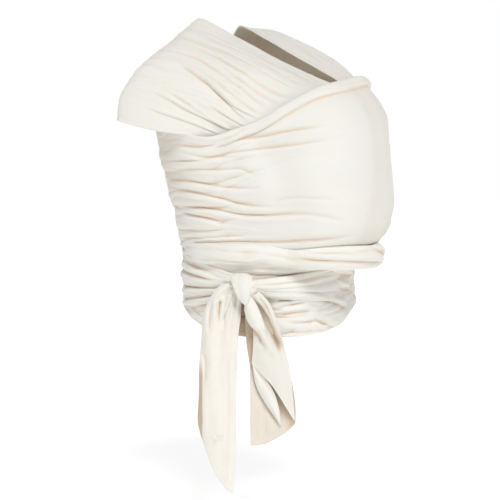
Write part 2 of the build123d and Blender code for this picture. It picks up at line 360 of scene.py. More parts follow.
def set_inputs(node, **values):
    """Sets inputs of a shader node. Their names are given with _ for a space."""
    for key, value in values.items():
        node.inputs[key.replace("_", " ")].default_value = value


# ---------------------------------------------------------------- material

# In metres
STITCH_INSET, STITCH_WIDTH, STITCH_LENGTH = 0.011, 0.0006, 0.0032
KNIT_COLUMN, KNIT_COURSE = 0.0011, 0.0009


def jersey():
    """Undyed stretch jersey: matt, with warm painted shade in its creases and painted shade from cloth_shade,
    knitted in fine columns, hemmed with one row of stitches."""
    made = bpy.data.materials.new("jersey_cloth")
    made.use_nodes = True
    nodes, links = made.node_tree.nodes, made.node_tree.links
    shader = nodes["Principled BSDF"]
    set_inputs(shader, Roughness=0.88, Sheen_Weight=0.25, Sheen_Roughness=0.5, Specular_IOR_Level=0.25,
               Subsurface_Weight=0.15, Subsurface_Radius=(1.0, 0.55, 0.32), Subsurface_Scale=0.006)

    def node(kind, **values):
        new = nodes.new(kind)
        for key, value in values.items():
            setattr(new, key, value)
        return new

    def feed(socket, value):
        """Sets a socket to a number or colour, or links it to another socket."""
        if isinstance(value, (int, float, tuple)):
            socket.default_value = value
        else:
            links.new(value, socket)

    def math_node(operation, *values):
        new = node("ShaderNodeMath", operation=operation)
        for socket, value in zip(new.inputs, values):
            feed(socket, value)
        return new.outputs[0]

    def times(first, second):
        return math_node("MULTIPLY", first, second)

    def wave(value, length):
        return math_node("SINE", times(value, 2 * math.pi / length))

    def attribute(name, output="Fac"):
        return node("ShaderNodeAttribute", attribute_name=name).outputs[output]

    def noise_node(scale, detail, stretch):
        """Noise in the cloth's own flat coordinates."""
        mapping = node("ShaderNodeMapping")
        set_inputs(mapping, Scale=stretch)
        links.new(flat, mapping.inputs["Vector"])
        new = node("ShaderNodeTexNoise")
        set_inputs(new, Scale=scale, Detail=detail)
        links.new(mapping.outputs[0], new.inputs["Vector"])
        return new.outputs["Fac"]

    def mix(factor, first, second):
        new = node("ShaderNodeMix", data_type="RGBA")
        for socket, value in (("Factor", factor), ("A", first), ("B", second)):
            feed(new.inputs[socket], value)
        return new.outputs["Result"]

    flat = attribute("cloth_flat", "Vector")
    split = node("ShaderNodeSeparateXYZ")
    links.new(flat, split.inputs[0])
    length, across = split.outputs["X"], split.outputs["Y"]

    patches = noise_node(7.0, 3.0, (1, 1, 1))
    slub = noise_node(1.0, 2.0, (40, 900, 1))
    base = mix(patches, (0.885, 0.855, 0.795, 1), (0.855, 0.815, 0.745, 1))
    base = mix(times(slub, 0.16), base, (0.78, 0.71, 0.62, 1))
    # painted shade: a warm, darker colour mixed in by crease depth (cloth_valley), for the shade and bounced
    # light deep in the creases
    warm = mix(noise_node(4.0, 1.0, (1, 1, 1)), (0.80, 0.54, 0.36, 1), (0.72, 0.60, 0.47, 1))
    base = mix(times(attribute("cloth_valley"), 0.72), base, warm)
    # painted shade: cloth_shade darkens the cloth towards a brown where it stands in shade
    base = mix(attribute("cloth_shade"), base, (0.53, 0.40, 0.27, 1))

    # stitches: a dotted row a little way in from the edge
    off = math_node("ABSOLUTE", math_node("SUBTRACT", attribute("cloth_edge"), STITCH_INSET))
    row = math_node("LESS_THAN", off, STITCH_WIDTH)
    stitch = times(row, math_node("GREATER_THAN", wave(length, STITCH_LENGTH), -0.4))
    base = mix(times(stitch, 0.35), base, (0.70, 0.62, 0.52, 1))
    links.new(base, shader.inputs["Base Color"])

    # knitted columns and rows
    column = math_node("ABSOLUTE", wave(across, KNIT_COLUMN))
    slant = math_node("ADD", length, times(column, 0.0004))
    knit = times(column, math_node("ADD", wave(slant, KNIT_COURSE), 1.6))
    height = math_node("ADD", times(knit, 0.25), times(slub, 0.8))
    height = math_node("SUBTRACT", height, times(stitch, 1.5))
    bump = node("ShaderNodeBump")
    set_inputs(bump, Strength=0.35, Distance=0.0004)
    links.new(height, bump.inputs["Height"])
    crumple = node("ShaderNodeBump")
    set_inputs(crumple, Strength=0.25, Distance=0.002)
    links.new(noise_node(55.0, 4.0, (0.45, 1, 1)), crumple.inputs["Height"])
    links.new(bump.outputs[0], crumple.inputs["Normal"])
    links.new(crumple.outputs[0], shader.inputs["Normal"])
    links.new(math_node("ADD", times(patches, 0.12), 0.8), shader.inputs["Roughness"])
    return made


JERSEY = jersey()


# ---------------------------------------------------------------- meshes

def cloth_mesh(name, points, normals, flat, valley, edge, closed=False, open_sides=(), thick=THIN,
               shade=0.0, inner_shade=0.0):
    """A layer of cloth with two faces and a rounded rim. points is a grid in mm, normals point outwards.
    open_sides names the sides that run on into another piece: first, last, top, bottom. shade is painted
    shade over the cloth, and inside is painted shade on its inner face on top of that."""
    rows, columns = points.shape[:2]
    half = np.broadcast_to(np.asarray(thick, float), (rows, columns))[..., None] / 2
    front, back = points + normals * half, points - normals * half
    co = [front.reshape(-1, 3), back.reshape(-1, 3)]
    index = np.arange(rows * columns).reshape(rows, columns)
    count = 2 * rows * columns
    faces = []

    def strip(one, two, flip):
        quads = np.stack([one[:-1], one[1:], two[1:], two[:-1]], axis=1)
        faces.append(quads[:, ::-1] if flip else quads)

    ring = np.concatenate([index, index[:1]]) if closed else index
    a, b, c, d = ring[:-1, :-1], ring[1:, :-1], ring[1:, 1:], ring[:-1, 1:]
    quads = np.stack([a, b, c, d], axis=-1).reshape(-1, 4)
    mid = rows // 2, columns // 2
    sample = np.cross(points[mid[0] + 1, mid[1]] - points[mid], points[mid[0], mid[1] + 1] - points[mid])
    turned = float(sample @ normals[mid]) < 0
    faces.append(quads[:, ::-1] if turned else quads)
    faces.append((quads if turned else quads[:, ::-1]) + rows * columns)

    sides = {
        "top": (ring[:, 0], points[:, 0] - points[:, 1], half[:, 0], True),
        "bottom": (ring[:, -1], points[:, -1] - points[:, -2], half[:, -1], False),
    }
    if not closed:
        sides["first"] = (index[0], points[0] - points[1], half[0], False)
        sides["last"] = (index[-1], points[-1] - points[-2], half[-1], True)
    sources = [np.arange(rows * columns), np.arange(rows * columns)]
    cut = []
    for side, (edge_index, outwards, half_thick, flip) in sides.items():
        if side in open_sides:
            strip(edge_index + rows * columns, edge_index, flip != turned)
            cut.append(edge_index)
            continue
        unique = edge_index[:-1] if closed else edge_index
        co.append(points.reshape(-1, 3)[unique] + unit(outwards) * half_thick)
        sources.append(unique)
        lip = np.arange(count, count + len(unique))
        count += len(unique)
        if len(unique) != len(edge_index):
            lip = np.concatenate([lip, lip[:1]])
        strip(lip, edge_index, flip != turned)
        strip(edge_index + rows * columns, lip, flip != turned)

    co = np.concatenate(co) * MM
    faces = np.concatenate(faces)
    mesh = bpy.data.meshes.new(name)
    mesh.vertices.add(len(co))
    mesh.vertices.foreach_set("co", co.astype(np.float32).ravel())
    mesh.loops.add(faces.size)
    mesh.loops.foreach_set("vertex_index", faces.astype(np.int32).ravel())
    mesh.polygons.add(len(faces))
    mesh.polygons.foreach_set("loop_start", np.arange(0, faces.size, 4, dtype=np.int32))
    mesh.polygons.foreach_set("use_smooth", np.ones(len(faces), bool))
    mesh.update(calc_edges=True)
    mesh.validate()
    outside = bmesh.new()
    outside.from_mesh(mesh)
    bmesh.ops.recalc_face_normals(outside, faces=outside.faces)
    outside.to_mesh(mesh)
    outside.free()
    if cut:
        on_cut = np.zeros(len(co), bool)
        on_cut[np.concatenate(cut)] = True
        on_cut[np.concatenate(cut) + rows * columns] = True
        ends = np.zeros(2 * len(mesh.edges), np.int32)
        mesh.edges.foreach_get("vertices", ends)
        sharp = mesh.attributes.new("sharp_edge", "BOOLEAN", "EDGE")
        sharp.data.foreach_set("value", on_cut[ends.reshape(-1, 2)].all(axis=1))
    source = np.concatenate(sources)

    def spread(values):
        """Values for the grid as one for each vertex."""
        return np.broadcast_to(values, (rows, columns)).reshape(-1)[source]

    inner = np.zeros(len(source))
    inner[rows * columns:2 * rows * columns] = 1.0
    layers = np.zeros((len(source), 3), np.float32)
    for axis, values in enumerate(flat):
        layers[:, axis] = spread(values) * MM
    attribute = mesh.attributes.new("cloth_flat", "FLOAT_VECTOR", "POINT")
    attribute.data.foreach_set("vector", layers.ravel())
    for key, values in (("cloth_valley", valley), ("cloth_edge", edge), ("cloth_shade", shade)):
        attribute = mesh.attributes.new(key, "FLOAT", "POINT")
        values = spread(values)
        # painted shade: the inner face gets more of it
        if key == "cloth_shade":
            values = values + inner_shade * inner
        attribute.data.foreach_set("value", values.astype(np.float32))
    mesh.materials.append(JERSEY)
    return new_object(name, mesh)


def declare(piece, stands_for):
    """Ties a piece to the body of the tied wrap and hides the nodes that it replaces."""
    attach(piece, WRAP)
    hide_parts(*stands_for)


def valleys(height, closed=False):
    """How deep in a crease each point lies, 0 to 1, from the fold heights in mm."""
    around = smooth_grid(height, 5.0, 5.0, closed)
    return np.clip((around - height) / 2.2, 0, 1) ** 1.3


# ---------------------------------------------------------------- the strip of cloth

BACK_COUNT = 250  # grid columns of a shoulder pass, from its chest end to the flank
PANEL_COUNT = 300
WIDTH_COUNT = 132  # grid points across the strip
CLOTH_WIDTH = 550.0
HEM_INSET = 0.6  # the gathered cloth's hem lies this share as far in as on the flat cloth
NO_HEM = 0.05  # a distance from the edge, in metres, past every stitch
BAND_SHARE = 6.0 / 11.0  # share of a pass that lies in front and over the shoulder
CAP_SPREAD = 15.0  # how much further out the free edge hangs than its lines
CAP_OUTWARD = np.array([-0.643, 0.766, -0.05])
NECK_DROP = np.array([0, 0, 16.0])  # how much lower the right neck edge runs in front
NECK_RIDGE = np.array([4.0, 0, 13.0])
NECK_ROLL = np.array([15.0, 0, -17.0])
BLEND_COLUMNS = 14  # columns each side of a cut that are smoothed together


def shoulder_pass():
    """Middle surface of the right shoulder pass, from its chest end, over the shoulder and across the back to
    the left flank. Returns its points, its headings and heights on the back, how far it lies on the back from
    0 to 1, and the share of its length."""
    lines = []
    for line in np.array(BAND_LINES, float):
        tucked = line[0] + 0.45 * (line[0] - line[1])
        heading = math.degrees(math.atan2(-tucked[0], -tucked[1]))
        lines.append([skin(heading, tucked[2], 1.0), *line])
    on_body = len(lines[0])
    fractions = np.linspace(0, 1, len(BAND_LINES))[:, None]
    upper, lower = np.array(BACK_ROWS, float).transpose(1, 0, 2)[:, :, None]
    spots = np.concatenate([[BAND_ENDS], upper + (lower - upper) * fractions])
    for i, line in enumerate(lines):
        for row in spots[:3]:
            line.append(skin(row[i, 0], row[i, 1], OUTER_LAYER))
    across = np.linspace(0, 1, WIDTH_COUNT)
    stations = on_body + len(spots) - 1
    share = np.linspace(0, stations, BACK_COUNT)
    over = refined(np.array(lines).transpose(1, 0, 2), share / (len(lines[0]) - 1), across)
    over = smooth_grid(over, 5, 6)
    t = share[:, None] / on_body
    cap = ramp(across, 0.25, 0.9) * ramp(t, 0.2, 0.75) * ramp(t, 1.12, 0.9)
    over = over + CAP_SPREAD * cap[..., None] * CAP_OUTWARD
    back = refined(spots, np.clip(share - on_body, 0, None) / (len(spots) - 1), across)
    back = smooth_rows(back, 5, 0)
    on_back = ramp(share, on_body + 0.1, on_body + 1.1)[:, None]
    return over, back[..., 0], back[..., 1], on_back, share[:, None] / stations


OVER, BACK_HEADING, BACK_HEIGHT, ON_BACK, PASS_SHARE = shoulder_pass()


def pass_surface(left):
    """Middle surface of a shoulder pass with its layer on the back."""
    heading = -BACK_HEADING if left else BACK_HEADING
    layer = OUTER_LAYER
    if left:
        rejoin = ramp(BACK_HEADING, 214, 232)
        layer = LEFT_CROSS_LAYER + (OUTER_LAYER - LEFT_CROSS_LAYER) * rejoin
    on_body = skin(heading, BACK_HEIGHT, layer + 0 * heading)
    t = PASS_SHARE / BAND_SHARE
    if left:  # its neck edge rolls inwards below a ridge
        ridge = ramp(ACROSS, 0.5, 0.2) * ramp(t, 1.1, 0.75)
        rolled = ramp(ACROSS, 0.2, 0.0) * ramp(t, 1.1, 0.7) * ramp(t, 0.0, 0.15)
        over = OVER + ridge[..., None] * NECK_RIDGE + rolled[..., None] * NECK_ROLL
        over = over * np.array([-1.0, 1.0, 1.0])
    else:
        lowered = ramp(t, 0.8, 0.25) - 0.3 * ramp(t, 0.6, 0.9) * ramp(t, 1.3, 1.05)
        lowered = lowered * ramp(ACROSS, 0.34, 0.0)
        over = OVER - lowered[..., None] * NECK_DROP
    return over * (1 - ON_BACK[..., None]) + on_body * ON_BACK[..., None]


def panel_top(heading):
    """Height of the panel's upper edge, smoothed along a row of headings."""
    return smooth_rows(np.interp(heading, *zip(*PANEL_TOP)), 5, 0)


def panel_surface():
    """Middle surface of the pouch panel from the left flank to the right one."""
    heading = np.linspace(-PANEL_END, PANEL_END, PANEL_COUNT)
    top = panel_top(heading)[:, None]
    height = top + (PANEL_BOTTOM - top) * ACROSS
    heading = heading[:, None] + 0 * height
    return heading, height, skin(heading, height, OUTER_LAYER + 0 * heading)


ACROSS = np.linspace(0, 1, WIDTH_COUNT)[None, :]
PANEL_HEADING, PANEL_HEIGHT, PANEL = panel_surface()
RIGHT_PASS, LEFT_PASS = pass_surface(False), pass_surface(True)

# One grid: chest end of the left pass, left shoulder, back, right flank, panel, left flank, back, right
# shoulder, chest end
STRIP = np.concatenate([LEFT_PASS[:-1], PANEL[::-1], RIGHT_PASS[-2::-1]])
FIRST_CUT = len(LEFT_PASS) - 1
SECOND_CUT = FIRST_CUT + PANEL_COUNT - 1
PANEL_PART = slice(FIRST_CUT, SECOND_CUT + 1)
for cut in (FIRST_CUT, SECOND_CUT):
    near_cut = slice(cut - BLEND_COLUMNS, cut + BLEND_COLUMNS)
    STRIP[near_cut] = smooth_rows(STRIP[near_cut], 2.0, 0)
LENGTH = run_lengths(STRIP[:, WIDTH_COUNT // 2])[:, None]
MIDDLE = FIRST_CUT + PANEL_COUNT // 2, WIDTH_COUNT // 2


def strip_normals(points):
    """Directions square to the strip, outwards: forward in the middle of the panel."""
    normals = grid_normals(points)
    return -normals if normals[MIDDLE][1] > 0 else normals


NORMALS = strip_normals(STRIP)

# Creases of the panel, each as headings and heights with depth and width in mm
PANEL_CREASES = [
    ([(20, -172), (40, -181), (56, -189), (74, -193)], 3.2, 3.0),
    ([(10, -186), (36, -201), (56, -207), (72, -212), (88, -218), (106, -204)], 3.0, 2.8),
    ([(64, -218), (80, -219), (92, -223), (112, -224)], 3.2, 2.8),
    ([(54, -254), (66, -237), (80, -238), (92, -236), (108, -234)], 2.8, 3.0),
    ([(52, -266), (76, -264), (96, -256), (120, -250)], 3.4, 3.0),
    ([(40, -292), (62, -292), (78, -282), (94, -272), (118, -261)], 3.8, 3.0),
    ([(28, -304), (54, -306), (70, -304), (90, -296), (122, -290)], 4.2, 3.2),
    ([(78, -318), (92, -310), (112, -301)], 3.6, 3.0),
    ([(18, -284), (34, -280), (50, -285)], 1.6, 3.0),
    ([(14, -315), (30, -304), (50, -304)], 1.6, 3.4),
    ([(60, -336), (88, -342), (116, -344)], 3.0, 2.8),
    ([(4, -330), (28, -338), (58, -345), (86, -349), (120, -353)], 3.4, 2.6),
    ([(58, -160), (74, -190), (90, -203), (108, -196)], 3.0, 3.0),
]
# Broad swellings and hollows of the panel over the baby: line of headings and heights, rise, half width in mm
BROAD_FORMS = [
    ([(4, -114), (0, -140), (-2, -186), (-2, -238), (2, -284), (4, -318)], -4.5, 20.0),
    ([(60, -172), (54, -208), (48, -246), (40, -284), (34, -312)], -4.0, 18.0),
    ([(70, -196), (58, -232), (50, -262)], 3.0, 16.0),
    ([(-22, -116), (-32, -132), (-46, -142), (-60, -150)], -7.0, 12.0),
    ([(-30, -160), (-44, -168)], 3.0, 14.0),
    ([(24, -150), (22, -190), (18, -230)], 3.0, 22.0),
]
RIM_WIDTH = 15.0
RIM_RISE = 4.6
PASS_GATHER = 5.2  # height of the gathers on the back


def panel_folds(heading, height):
    """Fold heights that only the panel has: its rolled rim and its creases, the same on both flanks."""
    below = panel_top(heading) - height
    width = RIM_WIDTH + 3 * noise(heading / 31, 0 * heading, 71)
    rolled = np.sqrt(np.clip(1 - ((below - width / 2) / (width / 2)) ** 2, 0, 1))
    present = ramp(np.abs(heading), 96, 72)
    pleat = 0.5 * noise(heading / 40, below / 6, 72)
    total = RIM_RISE * present * rolled * (1 + 0.4 * pleat)
    total = total - 1.4 * present * np.exp(-(((below - width - 1.2) / 1.8) ** 2))
    near = creases_at(heading, height, PANEL_CREASES)
    far = creases_at(-heading, height + 4, PANEL_CREASES)
    return total + near * ramp(heading, -4, 16) + far * ramp(heading, 4, -30)


def panel_forms(heading, height):
    """The broad swellings and hollows of the panel, in mm."""
    total = np.zeros(heading.shape)
    for points, rise, wide in BROAD_FORMS:
        line = along([(h * PER_DEGREE, z) for h, z in points], np.linspace(0, 1, 25))
        near = np.full(heading.shape, 1e9)
        for x, z in line:
            near = np.minimum(near, np.hypot(heading * PER_DEGREE - x, height - z))
        total += rise * np.exp(-((near / wide) ** 2))
    return smooth_grid(total, 3, 3)


# Creases of the shoulder pass: share of the width from the neck edge, share of the way from the chest end to
# the place where it meets the back, with depth and width in thousandths of the width
SHOULDER_CREASES = [
    ([(0.58, 0.10), (0.58, 0.23), (0.55, 0.33), (0.50, 0.45), (0.47, 0.53), (0.42, 0.63)], 5.0, 11),
    ([(0.66, 0.14), (0.60, 0.25), (0.55, 0.34), (0.50, 0.43), (0.45, 0.54)], 3.2, 10),
    ([(0.82, 0.15), (0.80, 0.30), (0.77, 0.42), (0.73, 0.52), (0.70, 0.64)], 3.4, 12),
    ([(0.92, 0.20), (0.90, 0.34), (0.87, 0.43), (0.85, 0.53), (0.84, 0.64)], 2.6, 13),
    ([(0.85, 0.15), (0.78, 0.33), (0.70, 0.47), (0.65, 0.60)], 2.4, 12),
    ([(0.20, 0.03), (0.22, 0.20), (0.18, 0.38), (0.17, 0.52), (0.17, 0.68)], 2.6, 10),
    ([(0.12, 0.03), (0.09, 0.13), (0.06, 0.28), (0.04, 0.46), (0.04, 0.66)], 2.4, 9),
    ([(0.35, 0.05), (0.37, 0.18), (0.35, 0.33), (0.32, 0.48), (0.29, 0.65)], 3.2, 11),
    ([(0.48, 0.10), (0.45, 0.24), (0.42, 0.37), (0.39, 0.50), (0.35, 0.66)], 3.4, 10),
    ([(0.16, 0.02), (0.18, 0.16), (0.17, 0.31), (0.13, 0.47), (0.11, 0.64)], 2.2, 8),
    ([(0.28, 0.04), (0.29, 0.20), (0.27, 0.34), (0.25, 0.48), (0.23, 0.64)], 2.4, 9),
    ([(0.42, 0.08), (0.41, 0.24), (0.38, 0.38), (0.35, 0.50)], 2.0, 8),
    ([(0.54, 0.10), (0.51, 0.25), (0.47, 0.40), (0.43, 0.52)], 2.2, 8),
    ([(0.72, 0.12), (0.69, 0.26), (0.64, 0.38)], 2.4, 10),
]
SHOULDER_WIDTH, SHOULDER_RUN = 1000, 600  # scales of the width and of the way, for the creases


def shoulder_folds(left):
    """Fold heights that only a shoulder pass has. The left one's creases are shifted a little."""
    t = (PASS_SHARE / BAND_SHARE * 7 - 1) / 6
    t, a = t + 0 * ACROSS, ACROSS + 0 * t
    total = np.zeros(t.shape)
    for i, (points, depth, wide) in enumerate(SHOULDER_CREASES):
        shift = 0.03 * math.sin(5.0 * i + 1) if left else 0.0
        placed = [((w + shift) * SHOULDER_WIDTH, s * SHOULDER_RUN) for w, s in points]
        total += crease(a * SHOULDER_WIDTH, t * SHOULDER_RUN, placed, 0.7 * depth, 0.75 * wide, lip=0.8)
    fine = ramp(t, 0.05, 0.3) * ramp(t, 1.15, 0.85) * (1 - 0.8 * ramp(a, 0.6, 0.85))
    return total + 2.2 * fine * gathers(t * 420, a * 26, 77, 260.0)


def strip_folds():
    """Fold heights over the whole strip, in mm."""
    length = LENGTH + 0 * ACROSS
    across = ACROSS + 0 * LENGTH
    left_part, right_part = slice(0, FIRST_CUT), slice(SECOND_CUT + 1, None)
    amount = np.zeros(length.shape)
    flank = ramp(np.abs(PANEL_HEADING[::-1] + 4), 36, 92)
    amount[PANEL_PART] = 0.25 + 4.9 * flank**1.6
    for part, share in (left_part, PASS_SHARE[:-1]), (right_part, PASS_SHARE[-2::-1]):
        over_arm = ramp(across[part], 0.55, 0.8) * ramp(share, 0.12, 0.22) * ramp(share, 0.6, 0.5)
        shoulder = ramp(share, 0.62, 0.5)
        amount[part] = (PASS_GATHER - 3.8 * shoulder) * (1 - 0.7 * over_arm)
    edge = np.minimum(across, 1 - across)
    amount = amount * (0.35 + 0.65 * ramp(edge, 0.0, 0.05))
    folds = amount * gathers(length, across * 14, 11, 185.0)
    folds[PANEL_PART] += panel_folds(PANEL_HEADING, PANEL_HEIGHT)[::-1]
    folds[left_part] += shoulder_folds(True)[:-1]
    folds[right_part] += shoulder_folds(False)[-2::-1]
    return folds


FOLDS = strip_folds()
FORMS = np.zeros(FOLDS.shape)
FORMS[PANEL_PART] = panel_forms(PANEL_HEADING, PANEL_HEIGHT)[::-1]
STRIP_AT = STRIP + NORMALS * (FOLDS + FORMS)[..., None]
STRIP_NORMALS = strip_normals(STRIP_AT)
STRIP_VALLEY = valleys(FOLDS)


def panel_hollow_shade(heading, height):
    """Painted shade on the panel: a soft tan line along its long hollow, and more painted shade on the far
    side of that line.
    """
    line = np.interp(height, [-318, -284, -238, -186, -140, -114], [4, 2, -2, -2, 0, 4])
    off = heading - line
    beyond = 0.13 * ramp(off, 3, -5) * ramp(heading, -70, -40)
    return (beyond + 0.09 * np.exp(-((off / 3.5) ** 2))) * ramp(height, -106, -128)


def strip_shade():
    """How much the cloth is darkened, all painted shade: painted shadow under the caps on both flanks, and
    the panel's painted hollow shade.
    """
    x, y, z = STRIP[..., 0], STRIP[..., 1], STRIP[..., 2]
    turned = np.abs(np.degrees(np.arctan2(-x, -y)))
    column = np.arange(len(STRIP))[:, None]
    outside = np.maximum(FIRST_CUT - column, column - SECOND_CUT)
    # painted shadow under the caps on both flanks
    total = 0.28 * ramp(turned, 92, 124) * ramp(turned, 172, 150) * ramp(z, -340, -230)
    total = total * ramp(outside, 60, 10)
    total[PANEL_PART] += panel_hollow_shade(PANEL_HEADING, PANEL_HEIGHT)[::-1]
    return total


STRIP_SHADE = strip_shade()


def strip_piece(name, first, last, open_sides, stands_for):
    """A length of the strip as a piece of its own."""
    part = slice(first, last + 1)
    edge = np.minimum(ACROSS, 1 - ACROSS)
    piece = cloth_mesh(
        name,
        STRIP_AT[part],
        STRIP_NORMALS[part],
        (LENGTH[part], ACROSS * CLOTH_WIDTH),
        STRIP_VALLEY[part],
        edge * CLOTH_WIDTH * MM * HEM_INSET,
        open_sides=open_sides,
        thick=THIN + 1.1 * np.exp(-((edge / 0.012) ** 2)),
        shade=STRIP_SHADE[part],
        # painted shade on the strip's inner face
        inner_shade=0.3,
    )
    declare(piece, stands_for)


strip_piece("left_shoulder_cloth", 0, FIRST_CUT, ("last",), ["left_shoulder_band", "left_back_cross"])
strip_piece("pouch_cloth", FIRST_CUT, SECOND_CUT, ("first", "last"), ["pouch_panel", "pouch_rim"])
strip_piece("right_shoulder_cloth", SECOND_CUT, len(STRIP) - 1, ("first",),
            ["right_shoulder_band", "right_back_cross"])


# ---------------------------------------------------------------- chest crosses, under the panel

# The right one: heading, height of its upper and of its lower edge
CHEST_CROSS = [
    (-80, -240, -350),
    (-50, -192, -350),
    (-20, -142, -348),
    (4, -118, -342),
    (30, -166, -300),
    (60, -216, -240),
]


def plain_pass(name, headings, tops, bottoms, layer, seed, stands_for, folds, depth, rows=110,
               columns=60, closed=False, extra=None, shaded=None):
    """A pass that lies on the body between two edges, given as lists along its headings. extra adds to its
    folds, and shaded gives its painted shade."""
    share = np.linspace(0, 1, rows, endpoint=not closed)
    known = np.linspace(0, 1, len(headings))
    heading = np.interp(share, known, headings)
    top = np.interp(share, known, tops)
    bottom = np.interp(share, known, bottoms)
    if not closed:
        top, bottom = smooth_rows(top, rows / 40, 0), smooth_rows(bottom, rows / 40, 0)
    across = np.linspace(0, 1, columns)[None, :]
    height = top[:, None] + (bottom - top)[:, None] * across
    heading = heading[:, None] + 0 * height
    length = heading * TURN_PACE
    edge = np.minimum(across, 1 - across)
    amount = depth * (0.3 + 0.7 * ramp(edge, 0, 0.08))
    fold = amount * gathers(length, across * folds, seed)
    if closed:  # the end of the turn meets its start
        again = amount * gathers(length - 360 * TURN_PACE, across * folds, seed)
        blend = ramp(share, 0.8, 1.0)[:, None]
        fold = fold * (1 - blend) + again * blend
    if extra is not None:
        fold = fold + extra(heading, height, across)
    base = skin(heading, height, np.zeros(heading.shape) + layer)
    normals = hull_normal(heading, height)
    at = base + normals * fold[..., None]
    near = np.exp(-((edge * np.abs(bottom - top)[:, None] / 3.5) ** 2))
    piece = cloth_mesh(name, at, outer_normals(at, normals, closed), (length, across * CLOTH_WIDTH),
                       valleys(fold, closed), edge * CLOTH_WIDTH * MM * HEM_INSET, closed=closed,
                       thick=THIN + near, shade=shaded(heading, height) if shaded else 0.0)
    declare(piece, stands_for)


for side, sense, chest_seed in (("right", 1, 31), ("left", -1, 41)):
    chest_headings, chest_tops, chest_bottoms = zip(*CHEST_CROSS)
    plain_pass(f"{side}_chest_cloth", [sense * h for h in chest_headings], chest_tops, chest_bottoms,
               CHEST_LAYERS[side], chest_seed, [f"{side}_chest_cross"], folds=9, depth=2.0)


# ---------------------------------------------------------------- waist

WAIST_TOP = -354.0
# Lower hem of the waist passes: heading, height
HEM = [
    (-180, -458), (-120, -460), (-60, -460), (-34, -462), (-14, -480), (8, -490), (30, -494), (60, -494),
    (80, -489), (98, -477), (114, -462), (130, -453), (180, -458),
]
KNOT_FACING = 56.0
KNOT_HEIGHT = -420.0


def facing(heading):
    """The heading between -180 and 180."""
    return np.mod(heading + 180, 360) - 180


def hem_height(heading):
    """Height of the waist's lower hem."""
    return np.interp(facing(heading), *zip(*HEM))


# Creases of the outer turn, as headings and heights with depth and width in mm
WAIST_CREASES = [
    ([(64, -402), (54, -399), (40, -401), (30, -398)], 2.6, 2.6),
    ([(58, -424), (50, -428), (38, -421)], 4.4, 2.8),
    ([(48, -440), (40, -434), (28, -429)], 3.4, 2.4),
    ([(48, -451), (38, -446), (24, -442)], 3.4, 2.4),
    ([(46, -461), (36, -458), (20, -456)], 3.2, 2.4),
    ([(44, -470), (32, -474), (16, -472)], 3.2, 2.6),
    ([(44, -484), (30, -488), (12, -486)], 2.4, 2.6),
    ([(30, -414), (14, -434), (-4, -448), (-24, -460)], 4.6, 3.6),
    ([(20, -400), (4, -412), (-14, -424), (-34, -432)], 4.0, 3.4),
    ([(22, -466), (10, -477), (-4, -487)], 3.6, 3.2),
    ([(8, -396), (-14, -404), (-40, -408)], 3.0, 3.0),
    ([(118, -430), (100, -425), (84, -422)], 3.4, 2.8),
    ([(122, -446), (98, -437), (82, -434)], 4.4, 2.8),
    ([(110, -456), (94, -447), (80, -442)], 3.0, 2.4),
    ([(124, -400), (100, -404), (78, -410)], 3.0, 3.0),
]


def waist_extra(heading, height, across):
    """Creases and fine gathers in front, the seat's roll standing on it, and its edges turned in."""
    turned = facing(heading)
    total = creases_at(turned, height, WAIST_CREASES)
    fine = 3.4 * ramp(turned, -10, 16) * ramp(turned, 66, 46)
    total += fine * gathers(turned * PER_DEGREE, across * 24, 67, 60.0)
    curl = ramp(across, 0.94, 1.0)
    stacked = ramp(height, -400, -372) * ramp(np.abs(turned - 8), 120, 60)
    tucked = ramp(across, 0.16, 0.04) * ramp(np.abs(turned), 124, 144)
    return total - 4.0 * curl + 10.0 * stacked - 9.0 * tucked


def shade_behind_ends(heading, height):
    """Painted shade on the waist where the two hanging ends close over it."""
    turned = facing(heading)
    return 0.95 * ramp(turned, 47, 54) * ramp(turned, 76, 69) * ramp(height, -428, -446)


around = np.linspace(0, 360, 73)
waist_top = WAIST_TOP + 12 * ramp(np.abs(around - 180), 70, 50)  # higher under the crossed passes
plain_pass("waist_cloth_inner", around, waist_top - 4, hem_height(around) + 3, WAIST_LAYERS["inner"], 51,
           ["waist_wrap_inner"], folds=9, depth=1.5, rows=150, columns=30, closed=True)
plain_pass("waist_cloth_outer", around, waist_top - 2, hem_height(around), WAIST_LAYERS["outer"], 61,
           ["waist_wrap_outer"], folds=11, depth=5.4, rows=420, columns=96, closed=True,
           extra=waist_extra, shaded=shade_behind_ends)


# ---------------------------------------------------------------- seat roll

TUBE_TURN = np.linspace(0, 2 * np.pi, 48, endpoint=False)


